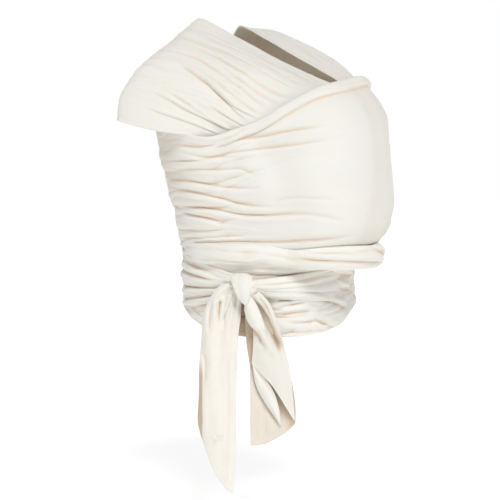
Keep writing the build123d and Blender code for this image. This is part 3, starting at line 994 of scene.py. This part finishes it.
def tube(name, line, up, radii_out, radii_up, seed, twist, stands_for, depth, lobes, creases=()):
    """A bunch of cloth along a line of points, with folds that wind round it. It thins to nothing at its
    ends."""
    line, up = np.asarray(line, float), np.asarray(up, float)
    tangent = unit(np.gradient(line, axis=0))
    out = unit(np.cross(tangent, up))
    up = unit(np.cross(out, tangent))
    share = np.linspace(0, 1, len(line))
    length = run_lengths(line)
    turn = TUBE_TURN
    wind = turn[None, :] + twist * share[:, None]
    stray = 2 * noise(length / 60, 0 * length, seed)[:, None]
    fold = depth * (np.abs(np.sin(wind * lobes / 2)) ** 0.6 - 0.6)
    fold = fold + 0.5 * depth * (np.abs(np.sin(wind * lobes + 1 + stray)) ** 0.6 - 0.6)
    fold = fold + 0.5 * depth * noise(length[:, None] / 22, 3 * np.cos(turn)[None, :] + 10, seed + 1)
    side = np.sign((out * line * np.array([1, 1, 0])).sum(axis=-1).mean())
    shown = ramp(side * np.cos(turn), -0.1, 0.3)[None, :]
    rise = radii_up[:, None] * np.sin(turn)[None, :]
    for points, deep, wide in creases:
        fold = fold + shown * crease(length[:, None] + 0 * rise, rise, points, deep, wide)
    small = np.minimum(radii_out, radii_up)[:, None] / max(radii_out.max(), radii_up.max())
    thinned = 0.001 + np.minimum(1, 6 * small)
    shape_out = np.maximum(radii_out[:, None] + fold, 0.3) * thinned
    shape_up = np.maximum(radii_up[:, None] + fold, 0.3) * thinned
    at = (line[:, None] + out[:, None] * (shape_out * np.cos(turn))[..., None]
          + up[:, None] * (shape_up * np.sin(turn))[..., None])
    at = at.transpose(1, 0, 2)
    piece = cloth_mesh(name, at, outer_normals(at, at - line, True), (length, turn[:, None] * radii_up.max()),
                       valleys(fold.T, True), NO_HEM, closed=True)
    declare(piece, stands_for)


# Creases of the roll: length along it from its front end, height above its middle
ROLL_CREASES = [
    ([(150, -17), (190, -6), (225, 5), (265, 14)], 5.0, 3.6),
    ([(110, -18), (150, -8), (185, 4), (215, 15)], 3.0, 3.0),
    ([(70, -3), (110, -2), (150, 3), (180, 9)], 3.4, 3.0),
    ([(210, -10), (280, -6), (350, -2), (400, 0)], 3.4, 2.8),
    ([(290, 6), (340, 8), (390, 4)], 2.6, 2.6),
    ([(60, 8), (100, 9), (140, 12)], 2.4, 2.6),
]
ROLL_COUNT = 190
roll_heading = np.linspace(-96, 130, ROLL_COUNT)
ends = ramp(roll_heading, -96, -60) * ramp(roll_heading, 130, 90)
front_share = ramp(roll_heading, 62, 24)
roll_height = -367 - 6 * front_share
under_pouch = hull_radius(roll_heading, np.full(ROLL_COUNT, -336.0)) - 1
on_waist = hull_radius(roll_heading, np.full(ROLL_COUNT, -376.0)) + 18 - 15 * (1 - ends)
roll_radius_at = smooth_rows(np.maximum(under_pouch * front_share, on_waist), 6, 0)
roll_line = polar(roll_heading, roll_height, roll_radius_at)
roll_out = (4.5 + 6.0 * front_share) * ends + 0.5
roll_up = (14.0 + 2.0 * front_share) * ends + 0.5
tube("seat_roll_cloth", roll_line, np.tile([0, 0, 1.0], (ROLL_COUNT, 1)), roll_out, roll_up, 81, 3.0,
     ["seat_roll"], depth=1.6, lobes=5, creases=ROLL_CREASES)


# ---------------------------------------------------------------- strands, knot

knot_angle = math.radians(KNOT_FACING)
OUTWARD = np.array([-math.sin(knot_angle), -math.cos(knot_angle), 0.0])
SCREEN = np.array([math.cos(knot_angle), -math.sin(knot_angle), 0.0])
UP = np.array([0.0, 0.0, 1.0])


def seat(layer):
    """A point in front of the knot's place on the waist, at a distance off the body."""
    wide, deep, mid = [float(c) for c in section(TORSO_SHAPE, KNOT_HEIGHT)]
    support = math.hypot(wide * OUTWARD[0], deep * OUTWARD[1])
    return np.array([
        wide**2 * OUTWARD[0] / support + layer * OUTWARD[0],
        mid + deep**2 * OUTWARD[1] / support + layer * OUTWARD[1],
        KNOT_HEIGHT,
    ])


KNOT_AT = seat(31.0)


# Creases of the two strands, as headings and heights with depth and width in mm
BACK_CREASES = [
    ([(136, -372), (114, -381), (92, -391), (74, -407)], 3.6, 3.0),
    ([(134, -388), (112, -397), (90, -404), (72, -412)], 4.2, 3.2),
    ([(104, -386), (90, -396), (76, -408)], 3.0, 2.4),
    ([(128, -424), (104, -421), (86, -419), (72, -417)], 3.6, 2.8),
    ([(132, -448), (108, -440), (86, -432), (71, -424)], 4.2, 3.0),
    ([(116, -454), (98, -448), (80, -438)], 3.4, 2.6),
]
FRONT_CREASES = [
    ([(60, -414), (44, -413), (22, -406), (-4, -400)], 2.2, 2.4),
    ([(60, -423), (46, -426), (24, -428), (4, -434)], 2.2, 2.4),
]


def fan(name, headings, tops, bottoms, seed, stands_for, creases, depth):
    """Cloth of the waist drawn together into the knot."""
    def lift(heading, height, across):
        near = ramp(heading, headings[0], headings[-1])
        rounded = np.sqrt(np.clip(1 - (2 * across - 1) ** 2, 0, 1))
        sink = 9.0 * ramp(near, 0.35, 0.0)
        lines = creases_at(heading, height, creases, 1, 0.8)
        return (2.5 + 6.5 * near**2) * rounded - 2.5 - sink + lines

    plain_pass(name, headings, tops, bottoms, STRAND_LAYER, seed, stands_for, folds=7.5, depth=depth,
               rows=150, columns=84, extra=lift)


fan("back_strand_cloth", [140, 128, 116, 104, 92, 80, 68], [-358, -360, -363, -370, -380, -391, -404],
    [-447, -448, -450, -449, -445, -440, -434], 91, ["knot_strand_back"], BACK_CREASES, 4.2)
fan("front_strand_cloth", [-30, -4, 20, 44, 64], [-386, -391, -397, -403, -408],
    [-448, -444, -440, -436, -431], 95, ["knot_strand_front"], FRONT_CREASES, 2.6)


def blob(name, centre, radii, seed, stands_for, swirl):
    """A tied bunch of cloth: a rounded body with folds wrapped round it."""
    rows, columns = 96, 64
    turn = np.linspace(0, 2 * np.pi, rows, endpoint=False)[:, None]
    tilt = np.linspace(0.02, np.pi - 0.02, columns)[None, :]
    x, y, z = np.sin(tilt) * np.cos(turn), np.sin(tilt) * np.sin(turn), np.cos(tilt) + 0 * turn
    folds = np.abs(np.sin(3.2 * (z + swirl * x) + 1.2 * y)) ** 0.6
    grow = 1 + 0.16 * (folds - 0.6) + 0.05 * noise(x * 2 + 5, z * 2 + 5, seed)
    local = np.stack([x * radii[0], y * radii[1], z * radii[2]], axis=-1) * grow[..., None]
    at = centre + local[..., :1] * SCREEN + local[..., 1:2] * OUTWARD + local[..., 2:] * UP
    piece = cloth_mesh(name, at, outer_normals(at, at - centre, True), (turn * radii[0], tilt * radii[2]),
                       valleys(4 * (folds - 0.6), True), NO_HEM, closed=True)
    declare(piece, stands_for)


blob("knot_cloth", KNOT_AT - 4 * OUTWARD, (16, 11, 16), 101, ["knot"], 0.7)

LOOP_COUNT = 60
loop_turn = np.linspace(2.5, -1.15, LOOP_COUNT)  # from behind the knot's top, over its front, to below it
loop_line = (KNOT_AT + np.outer(np.cos(loop_turn), OUTWARD) * 15 + np.outer(np.sin(loop_turn), UP) * 19.5
             + np.outer(np.linspace(-8, 3, LOOP_COUNT), SCREEN))
loop_share = np.linspace(0, 1, LOOP_COUNT)
loop_wide = np.interp(loop_share, [0, 0.25, 0.45, 0.65, 0.85, 1], [12, 15, 15, 12.5, 8, 4])
tube("knot_loop_cloth", loop_line, np.tile(SCREEN, (LOOP_COUNT, 1)), np.full(LOOP_COUNT, 5.0), loop_wide, 111,
     0.6, ["knot_loop"], depth=0.9, lobes=3)


# ---------------------------------------------------------------- hanging ends

TAIL_AT = seat(25.0)
HINGE_DROP = 25.0  # the ends' hinge line, below the knot's middle
SEAM_RISE = 40.0  # how far above its fold line an end is cut in two
# Each end: drop of its fold line, bodies above and below it, nodes above and below it
LONG = (156.0, ("long_tail_top", "long_tail_end"), ("long_tail_upper", "long_tail_lower"))
SHORT = (124.0, ("short_tail_top", "short_tail_end"), ("short_tail_upper", "short_tail_lower"))

# Lines down the cloth from the knot to the hem, left edge first. Each point: across from the knot, drop below
# it, distance in front of the ends' own plane
LONG_END = [
    [(-8, 4, 0), (-20, -9, 4), (-38, -5, 4), (-53, 14, 0), (-64, 42, -3), (-67, 80, -6), (-70, 118, -6),
     (-71, 160, -9), (-73, 200, -8), (-70, 218, -5)],
    [(-8, 6, 3), (-18, -7, 8), (-33, 0, 8), (-46, 20, 5), (-55, 46, 3), (-59, 84, 2), (-62, 120, 0),
     (-63, 164, 1), (-63, 206, 1), (-63, 238, -1)],
    [(-7, 9, 5), (-15, -3, 9), (-26, 7, 9), (-36, 27, 5), (-45, 52, 4), (-48, 88, 5), (-51, 123, 4),
     (-52, 168, 4), (-53, 215, 3), (-54, 262, 1)],
    [(-7, 12, 5), (-13, 2, 9), (-20, 13, 6), (-28, 32, 4), (-36, 56, 0), (-39, 90, 0), (-40, 125, 1),
     (-42, 172, 4), (-43, 225, 4), (-45, 281, 2)],
    [(-6, 14, 5), (-11, 8, 8), (-15, 19, 7), (-22, 36, 7), (-28, 60, 5), (-30, 92, 3), (-32, 127, 2),
     (-33, 177, 2), (-34, 237, 2), (-36, 295, 1)],
    [(-5, 17, 4), (-8, 14, 7), (-11, 24, 5), (-14, 41, 5), (-20, 64, 3), (-21, 95, 4), (-22, 128, 4),
     (-23, 181, 2), (-24, 247, 3), (-27, 306, 2)],
    [(-4, 20, 3), (-5, 21, 4), (-6, 31, 2), (-7, 46, 2), (-10, 66, 1), (-12, 99, 0), (-13, 130, 0),
     (-14, 184, 0), (-15, 250, 0), (-18, 313, 1)],
]
SHORT_END = [
    [(4, 8, 0), (2, 33, -1), (1, 55, -4), (3, 85, -5), (8, 118, -5), (9, 160, -4), (9, 205, -2),
     (10, 238, -1)],
    [(8, 8, 1), (14, 33, 0), (20, 56, -5), (23, 88, -6), (25, 122, -6), (25, 162, -6), (25, 205, -5),
     (28, 236, -4)],
    [(12, 7, 2), (22, 30, 1), (31, 56, -4), (37, 88, -5), (41, 122, -7), (42, 160, -8), (43, 200, -6),
     (46, 228, -5)],
    [(17, 6, 2), (31, 26, 1), (41, 54, -2), (49, 86, -4), (55, 120, -5), (59, 155, -6), (61, 190, -6),
     (63, 217, -5)],
    [(22, 4, 1), (37, 22, 0), (48, 52, -3), (58, 84, -3), (66, 118, -3), (73, 150, -3), (77, 180, -2),
     (77, 203, -1)],
]
SHORT_FLAP = [
    [(5, 10, 5), (9, 33, 3), (13, 52, 2), (14, 70, 2), (13, 90, 2), (11, 112, 1)],
    [(9, 9, 7), (16, 30, 6), (21, 52, 5), (23, 74, 6), (24, 100, 6), (27, 129, 4)],
    [(13, 8, 8), (23, 28, 8), (31, 52, 5), (34, 78, 7), (38, 108, 8), (43, 146, 5)],
    [(18, 6, 8), (31, 24, 8), (41, 50, 5), (47, 80, 5), (54, 118, 6), (59, 171, 4)],
    [(22, 3, 5), (38, 21, 3), (50, 52, 1), (60, 86, 0), (70, 130, 0), (77, 202, 0)],
]
SHORT_PETAL = [
    [(7, 8, 7), (1, 24, 11), (3, 38, 13), (9, 52, 13), (20, 62, 12), (30, 68, 10)],
    [(7.5, 8.5, 10), (7, 23, 17), (11, 37, 19), (16, 49, 18), (23, 59, 15), (30, 68, 11)],
    [(8, 9, 10), (12, 22, 15), (17, 35, 17), (22, 47, 17), (26, 57, 14), (30.5, 68, 11)],
    [(9, 9, 8), (17, 19, 12), (24, 33, 14), (28, 45, 14), (31, 56, 12), (31, 68, 10)],
]
SHORT_LEAF = [
    [(12, 113, 0), (16, 140, 0), (23, 158, 0), (34, 176, -1), (47, 195, -1), (54, 206, -3)],
    [(12.5, 113, 2), (21, 136, 4), (30, 151, 4), (40, 169, 3), (49, 189, 2), (54.3, 206, -2)],
    [(13, 113, 1), (28, 131, 2), (40, 147, 2), (48, 166, 1), (53, 186, 0), (54.6, 206, -3)],
]
# Creases: line of points across and down, depth, width
LONG_CREASES = [
    ([(-37, 14), (-38, 24), (-39, 36), (-40, 60)], 6.0, 3.2),
    ([(-13, 4), (-14, 16), (-16, 30)], 5.0, 2.6),
    ([(-26, 6), (-29, 22), (-31, 40), (-31, 70)], 3.6, 2.8),
    ([(-48, 20), (-53, 40), (-55, 70)], 3.0, 3.0),
    ([(-47, 219), (-40, 226), (-30, 222)], 1.6, 1.8),
    ([(-50, 236), (-42, 231), (-34, 233)], 1.4, 1.8),
    ([(-63, 96), (-60, 120), (-62, 150)], 2.4, 3.4),
    ([(-24, 90), (-25, 130), (-24, 190), (-26, 250)], 1.6, 6.0),
]
FLAP_CREASES = [
    ([(17, 14), (25, 32), (33, 50), (42, 68), (50, 84), (54, 98)], 10.0, 5.6),
    ([(26, 34), (36, 54), (45, 72)], 5.0, 5.0),
    ([(20, 9), (32, 24), (40, 40)], 3.0, 2.4),
    ([(14, 60), (24, 74), (34, 92)], 1.4, 4.0),
    ([(14, 12), (20, 21), (27, 34), (32, 46), (34, 58), (34, 74)], 4.6, 2.6),
    ([(26, 84), (24, 72), (16, 62), (10, 50), (8, 40)], 3.0, 2.4),
]
SHORT_CREASES = [
    ([(12, 120), (24, 160), (40, 190), (56, 206)], 1.6, 5.0),
    ([(26, 170), (30, 200), (31, 234)], 1.2, 4.0),
]


def hanging(lines, rows, columns, creases, seed, gather):
    """A hanging layer of cloth: its points across, down and forward, its creases, and the painted shade in
    its creases.
    """
    lines = np.asarray(lines, float).transpose(1, 0, 2)
    share, across = np.linspace(0, 1, rows), np.linspace(0, 1, columns)
    grid = smooth_grid(refined(lines, share, across), rows / 60, columns / 40)
    x, drop = grid[..., 0], grid[..., 1]
    fresh = ramp(drop, 75, 10)
    pleats = np.abs(noise(across * 7 + 3 + 0 * x, drop / 130, seed)) ** 0.7 - 0.4
    soft = 1.5 * noise(drop / 60, across * 2.6 + 0 * x, seed + 1)
    soft = soft + 0.5 * noise(drop / 26, across * 5 + 0 * x, seed + 2)
    lift = gather * fresh * pleats + (0.5 + 0.5 * ramp(drop, 30, 90)) * soft
    # painted shade in the creases, by their depth
    dark = np.zeros(x.shape)
    for points, depth, wide in creases:
        lines_at = crease(x, drop, points, depth, wide)
        lift = lift + lines_at
        dark = np.maximum(dark, np.clip(-lines_at / 6.0, 0, 1))
    grid = grid + np.stack([0 * x, 0 * x, lift], axis=-1)
    return grid, valleys(lift), dark


def hanging_piece(name, grid, valley, tail, shade=0.0, **flat):
    """Makes a hanging layer. flat names its upper and its lower piece, cut apart above the fold line, or the
    only one; the flat sizes that it gives are not used."""
    fold, bodies, nodes = tail
    x, drop, y = grid[..., 0], grid[..., 1], grid[..., 2]
    at = TAIL_AT + x[..., None] * SCREEN + y[..., None] * OUTWARD - drop[..., None] * UP
    outward = outer_normals(at, OUTWARD)
    width, length = run_lengths(at, 1), run_lengths(at)
    edge = np.minimum(np.minimum(width, width[:, -1:] - width), length[-1:] - length) * MM
    # shade is painted shade over the layer, carried into cloth_shade
    grids = (at, outward, length, width, valley, edge, np.broadcast_to(shade, x.shape))
    seam = int(np.argmin(np.abs(drop.mean(axis=1) - (fold - SEAM_RISE))))
    parts = {"upper": (slice(0, seam + 1), ("last",)), "lower": (slice(seam, None), ("first",))}
    for half, size in flat.items():
        part, open_sides = parts[half] if len(flat) == 2 else (slice(None), ())
        p, n, s, w, v, e, dim = [g[part] for g in grids]
        piece = cloth_mesh(f"{name}_{half}", p, n, (s, w), v, e, open_sides=open_sides, shade=dim)
        if half == "lower":
            hinge, reach, above, below_it, node = fold, 14, bodies[0], bodies[1], nodes[1]
        else:
            hinge, reach, above, below_it, node = HINGE_DROP + 6, 10, WRAP, bodies[0], nodes[0]
        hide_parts(node)
        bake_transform(piece)


grid, valley, _ = hanging(LONG_END, 220, 96, LONG_CREASES, 121, 5.0)
x, drop = grid[..., 0], grid[..., 1]
# painted shade: a little over the whole long end, and a strong strip along its left edge where the cloth
# turns back in shade
wavy = 1.6 * noise(drop / 22, 0 * drop, 123)
turned_back_shade = ramp(x + wavy, -65.0, -66.5) * ramp(drop, 105, 135) * ramp(drop, 250, 225)
hanging_piece("long_end", grid, valley, LONG, 0.05 + 0.75 * turned_back_shade,
              upper=(0.07, 0.13), lower=(0.06, 0.17))

grid, valley, _ = hanging(SHORT_END, 160, 72, SHORT_CREASES, 131, 2.0)
x, drop = grid[..., 0], grid[..., 1]
below = drop - np.interp(x, [11, 27, 43, 59, 77], [112, 129, 146, 171, 202])  # below the flap's lower edge
# painted shadow over the short end: more under the flap and just below its edge, at its right side, and in a
# strip along its left side
shadow = 0.30 + 0.3 * ramp(below, 46, -2) + 0.25 * ramp(x, 44, 56) * ramp(below, 34, 0)
shadow = np.maximum(shadow, 0.85 * ramp(x, 17, 12) * ramp(drop, 36, 52) * ramp(drop, 150, 108))
hanging_piece("short_end", grid, valley, SHORT, shadow, upper=(0.045, 0.09), lower=(0.07, 0.13))

grid, valley, dark = hanging(SHORT_FLAP, 120, 72, FLAP_CREASES, 141, 2.5)
# painted shade: a little over the whole flap, and deep in its creases
hanging_piece("short_flap", grid, valley, SHORT, 0.09 + 0.9 * dark, upper=(0.045, 0.09), lower=(0.05, 0.065))

grid, valley, _ = hanging(SHORT_PETAL, 60, 28, [], 151, 0.0)
hanging_piece("short_petal", grid, valley, SHORT, upper=(0.02, 0.065))

grid, valley, _ = hanging(SHORT_LEAF, 60, 24, [], 161, 0.0)
hanging_piece("short_leaf", grid, valley, SHORT, lower=(0.02, 0.1))


# ---------------------------------------------------------------- floor, light, camera

FLOOR_HEIGHT = -0.76
FLOOR_SIDE = 14.0
FLOOR_GLOW = 0.74
ROOM_LIGHT = 0.36
AXIS_HEIGHT = -0.368
CAMERA_AZIMUTH, CAMERA_ELEVATION = -50, 3
STAND_OFF = 3.0  # distance of the camera and the lamps
ASIDE = 0.032  # the object stands a little to the right of the picture's middle


def floor():
    mesh = bpy.data.meshes.new("floor")
    corners = [(-1, -1), (1, -1), (1, 1), (-1, 1)]
    mesh.from_pydata([(x * FLOOR_SIDE, y * FLOOR_SIDE, FLOOR_HEIGHT) for x, y in corners], [], [(0, 1, 2, 3)])
    pale = bpy.data.materials.new("floor_paper")
    pale.use_nodes = True
    set_inputs(pale.node_tree.nodes["Principled BSDF"], Base_Color=(0.5, 0.5, 0.5, 1), Roughness=0.9,
               Emission_Color=(1, 1, 1, 1), Emission_Strength=FLOOR_GLOW)
    mesh.materials.append(pale)
    new_object("floor", mesh)


def aimed(name, data, azimuth, elevation, aside=0.0):
    """A lamp or camera that looks level or down at the object, from a side given in degrees."""
    a, e = math.radians(azimuth), math.radians(elevation)
    away = Vector((math.sin(a) * math.cos(e), -math.cos(a) * math.cos(e), math.sin(e)))
    right = Vector((math.cos(a), math.sin(a), 0))
    made = new_object(name, data)
    made.location = Vector((0, 0, AXIS_HEIGHT)) - right * aside + away * STAND_OFF
    made.rotation_mode = "QUATERNION"
    made.rotation_quaternion = (-away).to_track_quat("-Z", "Y")
    return made


def soft_light(name, azimuth, elevation, strength, spread):
    """A distant soft box, spread in degrees across."""
    light = bpy.data.lights.new(name, "SUN")
    light.energy = strength
    light.angle = math.radians(spread)
    aimed(name, light, azimuth, elevation)


def camera():
    data = bpy.data.cameras.new("camera")
    data.lens = 135
    data.sensor_width = 36
    bpy.context.scene.camera = aimed("camera", data, CAMERA_AZIMUTH, CAMERA_ELEVATION, ASIDE)


def studio():
    """A white room: it shows white, and lights the object more softly than that."""
    world = bpy.data.worlds.new("studio")
    world.use_nodes = True
    nodes, links = world.node_tree.nodes, world.node_tree.links
    shown, light = nodes["Background"], nodes.new("ShaderNodeBackground")
    set_inputs(shown, Color=(1, 1, 1, 1), Strength=1.0)
    set_inputs(light, Color=(0.97, 0.985, 1, 1), Strength=ROOM_LIGHT)
    path = nodes.new("ShaderNodeLightPath")
    mixed = nodes.new("ShaderNodeMixShader")
    links.new(path.outputs["Is Camera Ray"], mixed.inputs[0])
    links.new(light.outputs[0], mixed.inputs[1])
    links.new(shown.outputs[0], mixed.inputs[2])
    links.new(mixed.outputs[0], nodes["World Output"].inputs["Surface"])
    bpy.context.scene.world = world


floor()
soft_light("key", -34, 50, 1.8, 22)
soft_light("fill", -70, 15, 0.15, 60)
camera()
studio()
bpy.context.scene.view_settings.view_transform = "Standard"
